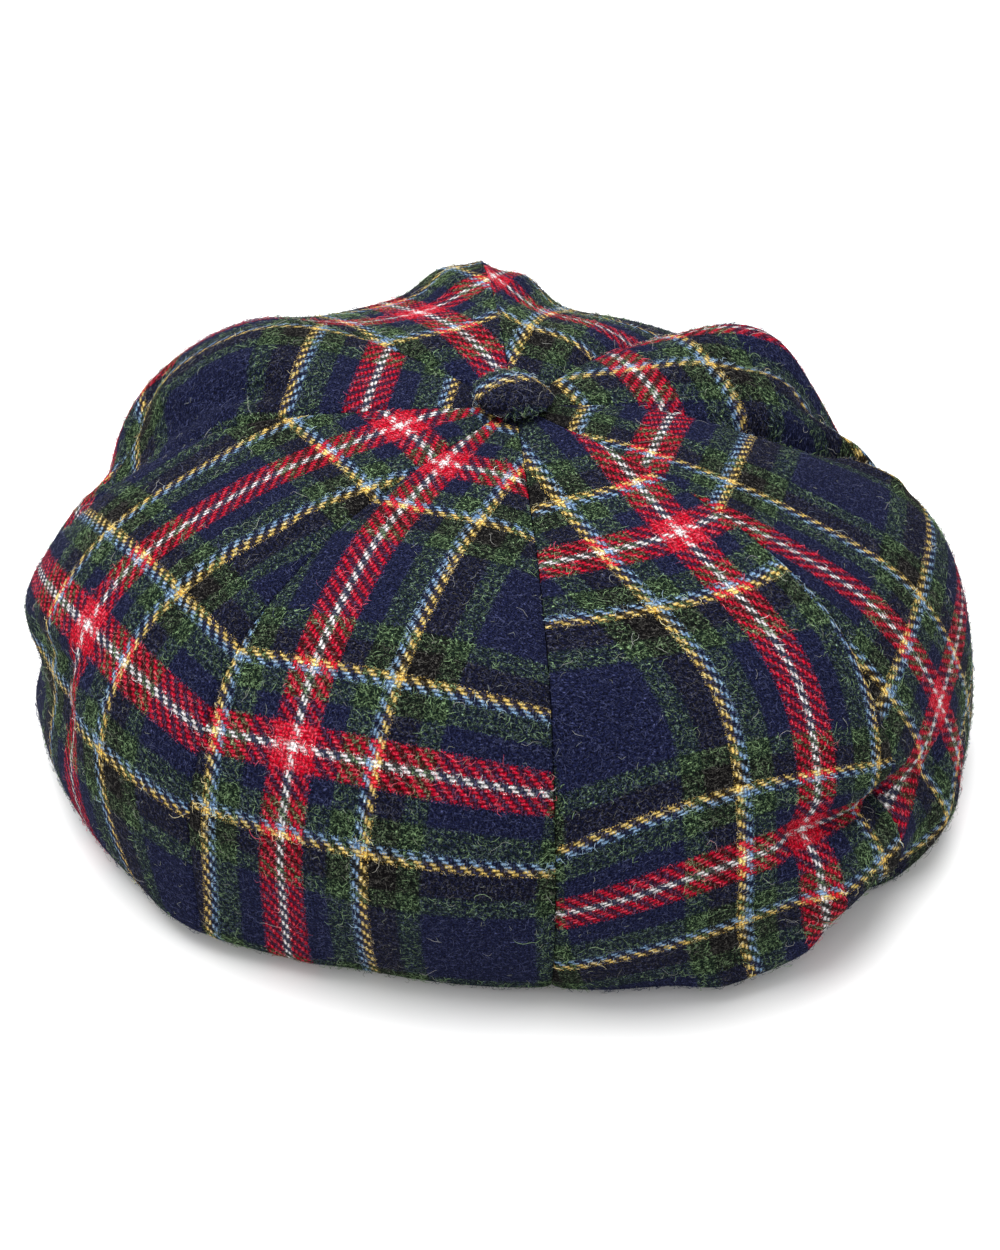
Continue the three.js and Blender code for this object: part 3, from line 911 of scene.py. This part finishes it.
def stitches(name, line, ups):
    """A row of lockstitches along a dense line on the cloth; each end dives into it."""
    run = run_along(line)
    starts = np.arange(STITCH_PITCH, run[-1] - STITCH_PITCH, STITCH_PITCH)
    places = starts[:, None] + np.linspace(0, STITCH_LENGTH, STITCH_STEPS)
    paths = np.stack([np.interp(places, run, line[:, axis]) for axis in range(3)], -1)
    up = unit(np.stack([np.interp(starts, run, ups[:, axis]) for axis in range(3)], -1))
    dive = np.sin(np.linspace(0, math.pi, STITCH_STEPS)) * 2 * STITCH_RADIUS - STITCH_RADIUS
    paths = paths + up[:, None] * dive[:, None]
    points, faces = tubes(paths, up, np.full(STITCH_STEPS, STITCH_RADIUS), STITCH_SIDES)
    piece = mesh_object(name, points, faces, np.zeros((len(points), 2)), [THREAD])
    return piece


BAND_ROUND = 1.2                 # radius of its folded edges
BAND_STEPS = 240
BAND_ROWS = 22                   # points up its outside
BAND_CORNER = 5                  # points round a quarter of a folded edge
BAND_SEAM_GAP = 0.002            # half of the gap at its back seam, as an angle
BAND_STITCH_UP = 4.5
BAND_GROOVE = (0.35, 0.8)        # depth and width of the groove that the stitches pull
BAND_RIPPLE = 0.25               # how far its outside ripples
BAND_RIPPLES = 9
BAND_RIPPLE_UNEVEN = (1.7, 2)    # how far, and how often around, the ripples are out of step
BAND_RIPPLE_FADE = (4, 1)        # how often they come and go, and from which angle
BAND_SKIN = 0.5                  # the part of its section this near its outside ripples
BAND_CLOTH_UP = 44.0             # where its lower edge is in the sett
BAND_SEED = 21
BAND_NAP = 1200


def groove(distance, depth, width):
    return -depth * np.exp(-(distance / width) ** 2)


def band_section():
    """The strip's section, outwards and up, and the first place of it that is lining."""
    corner = np.linspace(0, math.pi / 2, BAND_CORNER)
    out_by = BAND_ROUND * np.sin(corner)
    up_by = BAND_ROUND * np.cos(corner)
    low, high, inside = BAND_ROUND, BAND_HEIGHT - BAND_ROUND, BAND_WALL - BAND_ROUND
    up = np.linspace(low, high, BAND_ROWS)
    parts = [
        (-inside - out_by[::-1], low - up_by[::-1]),
        (-BAND_ROUND + out_by, low - up_by),
        (groove(up[1:-1] - BAND_STITCH_UP, *BAND_GROOVE), up[1:-1]),
        (-BAND_ROUND + up_by, high + out_by),
        (-inside - out_by, high + up_by),
        (np.full(BAND_ROWS - 2, -BAND_WALL), up[-2:0:-1]),
    ]
    lining_from = sum(len(part[0]) for part in parts[:-1]) - 1
    return np.concatenate([np.stack(part, -1) for part in parts]), lining_from


def headband():
    """A folded strip of cloth joined at the back, stitched near its lower edge, and its lining."""
    section, lining_from = band_section()
    turn = np.linspace(BAND_SEAM_GAP, 2 * math.pi - BAND_SEAM_GAP, BAND_STEPS) - math.pi / 2
    direction = np.stack([np.cos(turn), np.sin(turn)], -1)
    shift = BAND_RIPPLE_UNEVEN[0] * np.sin(turn * BAND_RIPPLE_UNEVEN[1])
    fade = np.sin(turn * BAND_RIPPLE_FADE[0] + BAND_RIPPLE_FADE[1])
    ripple = BAND_RIPPLE * np.sin(turn * BAND_RIPPLES + shift) * fade
    skin = section[:, 0] > -BAND_SKIN
    aside = section[:, 0] + ripple[:, None] * skin
    x = direction[:, :1] * (BAND_HALF_WIDTH + aside)
    y = direction[:, 1:] * (BAND_HALF_LENGTH + aside) + BAND_FORWARD
    rings = np.stack([x, y, np.broadcast_to(section[:, 1], x.shape)], -1)
    upright = 2 * BAND_CORNER    # the first place of its section over the lower fold
    around = run_along(rings[:, upright])[:, None]
    cloth = np.stack(np.broadcast_arrays(around, BAND_CLOTH_UP + run_along(section)), -1) / YARN
    faces = loft_faces(*x.shape)
    sides = len(section)
    lined = ((faces % sides >= lining_from) | (faces % sides == 0)).all(1)
    piece = mesh_object("headband_cloth", rings.reshape(-1, 3), faces, cloth.reshape(-1, 2),
                        [TARTAN, SWEATBAND], lined.astype(int))
    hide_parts("headband")
    row = int(np.argmin(np.where(skin, abs(section[:, 1] - BAND_STITCH_UP), np.inf)))
    outward = np.concatenate([direction, 0 * direction[:, :1]], 1)
    seam = stitches("headband_stitches", rings[:, row], outward)
    shown = slice(upright - 2, upright - 2 + BAND_ROWS)
    grid = (rings[:, shown], rings[:, shown] * (0.9, 0.9, 1), cloth[:, shown])
    nap = nap_on("headband", np.random.default_rng(BAND_SEED), BAND_NAP, grid)


PEAK_STEPS = 150                 # points around it
PEAK_ROWS = 34                   # points from the band to where the lip starts
PEAK_LIP_ROWS = 11               # points round the lip
PEAK_LIP_FROM = 0.94             # shares of the way from the band to the lip
PEAK_STITCH_AT = 0.9
PEAK_GROOVE = (0.45, 0.02)       # its depth in millimetres, and its width as such a share
PEAK_ENDS = 0.985                # how near its cloth comes to its sharp ends
PEAK_ENDS_THINNER = (0.25, 6)    # how much thinner it is there, and how suddenly
PEAK_CLOTH = (-20.0, 12.0)       # where the button's axis would be in its sett
PEAK_SEED = 22
PEAK_NAP = 1100


def peak_point(around, outward, height):
    """One place on the peak: around the front (-1 to 1), and from the band (0) to the lip (1)."""
    angle = math.radians(PEAK_HALF_ANGLE) * around
    spread = np.sqrt(1 - around ** 2)
    arch = PEAK_ARCH * spread * (1 - PEAK_FLATTEN * outward)
    x = (BAND_HALF_WIDTH + SEAM_GAP) * np.sin(angle) * (1 + PEAK_FLARE * outward)
    y = BAND_FORWARD + (BAND_HALF_LENGTH + SEAM_GAP) * np.cos(angle) + PEAK_REACH * spread * outward
    return np.stack([x, y, PEAK_LIFT + arch + height], -1)


def peak():
    """A stiff board covered with cloth, with one row of stitches inside its lip."""
    flat = np.linspace(0, PEAK_LIP_FROM, PEAK_ROWS)
    lip = np.linspace(0, math.pi, PEAK_LIP_ROWS + 2)[1:-1]
    rounded = PEAK_LIP_FROM + (1 - PEAK_LIP_FROM) * np.sin(lip)
    outward = np.concatenate([flat, rounded, flat[::-1]])
    thick = PEAK_THICKNESS / 2
    top = thick + groove(flat - PEAK_STITCH_AT, *PEAK_GROOVE)
    height = np.concatenate([top, thick * np.cos(lip), -top[::-1]])
    around = PEAK_ENDS * np.sin(np.linspace(-0.5, 0.5, PEAK_STEPS) * math.pi)
    thinner = 1 - PEAK_ENDS_THINNER[0] * abs(around[:, None]) ** PEAK_ENDS_THINNER[1]
    rings = peak_point(around[:, None], outward[None], thick + height[None] * thinner)
    cloth = (rings[..., :2] + PEAK_CLOTH) / YARN
    piece = mesh_object("peak_cloth", rings.reshape(-1, 3), loft_faces(*rings.shape[:2]),
                        cloth.reshape(-1, 2), [TARTAN])
    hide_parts("peak")
    row = int(np.argmin(abs(flat - PEAK_STITCH_AT)))
    upward = np.broadcast_to((0.0, 0.0, 1.0), (PEAK_STEPS, 3))
    stitches("peak_stitches", rings[:, row], upward)
    shown = slice(1, PEAK_ROWS + PEAK_LIP_ROWS // 2 + 1)
    grid = (rings[:, shown], rings[:, shown] - (0, 0, PEAK_THICKNESS), cloth[:, shown])
    nap_on("peak", np.random.default_rng(PEAK_SEED), PEAK_NAP, grid)


for panel in range(len(PANELS)):
    crown_panel(panel)
button()
headband()
peak()

# ---------------------------------------------------------------- floor, light and camera

FLOOR_HALF = 4.0                 # metres
PALE = (0.9, 0.9, 0.9, 1)
DAYLIGHT = 0.9                   # strength of the white world


def studio():
    mesh = bpy.data.meshes.new("floor")
    corners = [(x * FLOOR_HALF, y * FLOOR_HALF, 0) for x, y in ((-1, -1), (1, -1), (1, 1), (-1, 1))]
    mesh.from_pydata(corners, [], [(0, 1, 2, 3)])
    floor = bpy.data.objects.new("floor", mesh)
    bpy.context.scene.collection.objects.link(floor)
    paint = bpy.data.materials.new("floor_white")
    paint.use_nodes = True
    shader = paint.node_tree.nodes["Principled BSDF"]
    shader.inputs["Base Color"].default_value = PALE
    shader.inputs["Roughness"].default_value = 0.9
    mesh.materials.append(paint)
    world = bpy.data.worlds.new("studio")
    world.use_nodes = True
    background = world.node_tree.nodes["Background"]
    background.inputs["Color"].default_value = (1, 1, 1, 1)
    background.inputs["Strength"].default_value = DAYLIGHT
    bpy.context.scene.world = world


LIGHTS_AIM = (0, 0, 0.05)        # metres, as the rows below are
# name, position, size, power
LIGHTS = [
    ("key", (-0.15, 0.15, 1.4), 1.6, 34),
    ("fill", (-0.7, -1.0, 0.8), 1.0, 2),
]


def soft_light(name, position, size, power):
    disk = bpy.data.lights.new(name, "AREA")
    disk.shape = "DISK"
    disk.size = size
    disk.energy = power
    lamp = bpy.data.objects.new(name, disk)
    lamp.location = position
    direction = Vector(LIGHTS_AIM) - Vector(position)
    lamp.rotation_euler = direction.to_track_quat("-Z", "Y").to_euler()
    bpy.context.scene.collection.objects.link(lamp)


CAMERA_FROM = (-57.3, -604.5, 460.1)
CAMERA_TO = (-7.6, -36.8, 53.6)
LENS = 86.2                      # millimetres, as its sensor is
SENSOR = 36.0


def camera():
    data = bpy.data.cameras.new("camera")
    data.lens = LENS
    data.sensor_width = SENSOR
    data.sensor_fit = "HORIZONTAL"
    view = bpy.data.objects.new("camera", data)
    start, aim = (Vector(place(np.array(p))) for p in (CAMERA_FROM, CAMERA_TO))
    view.location = start
    view.rotation_euler = (aim - start).to_track_quat("-Z", "Y").to_euler()
    bpy.context.scene.collection.objects.link(view)
    bpy.context.scene.camera = view


studio()
for light in LIGHTS:
    soft_light(*light)
camera()
bpy.context.scene.view_settings.view_transform = "Standard"
bpy.context.scene.view_settings.look = "None"
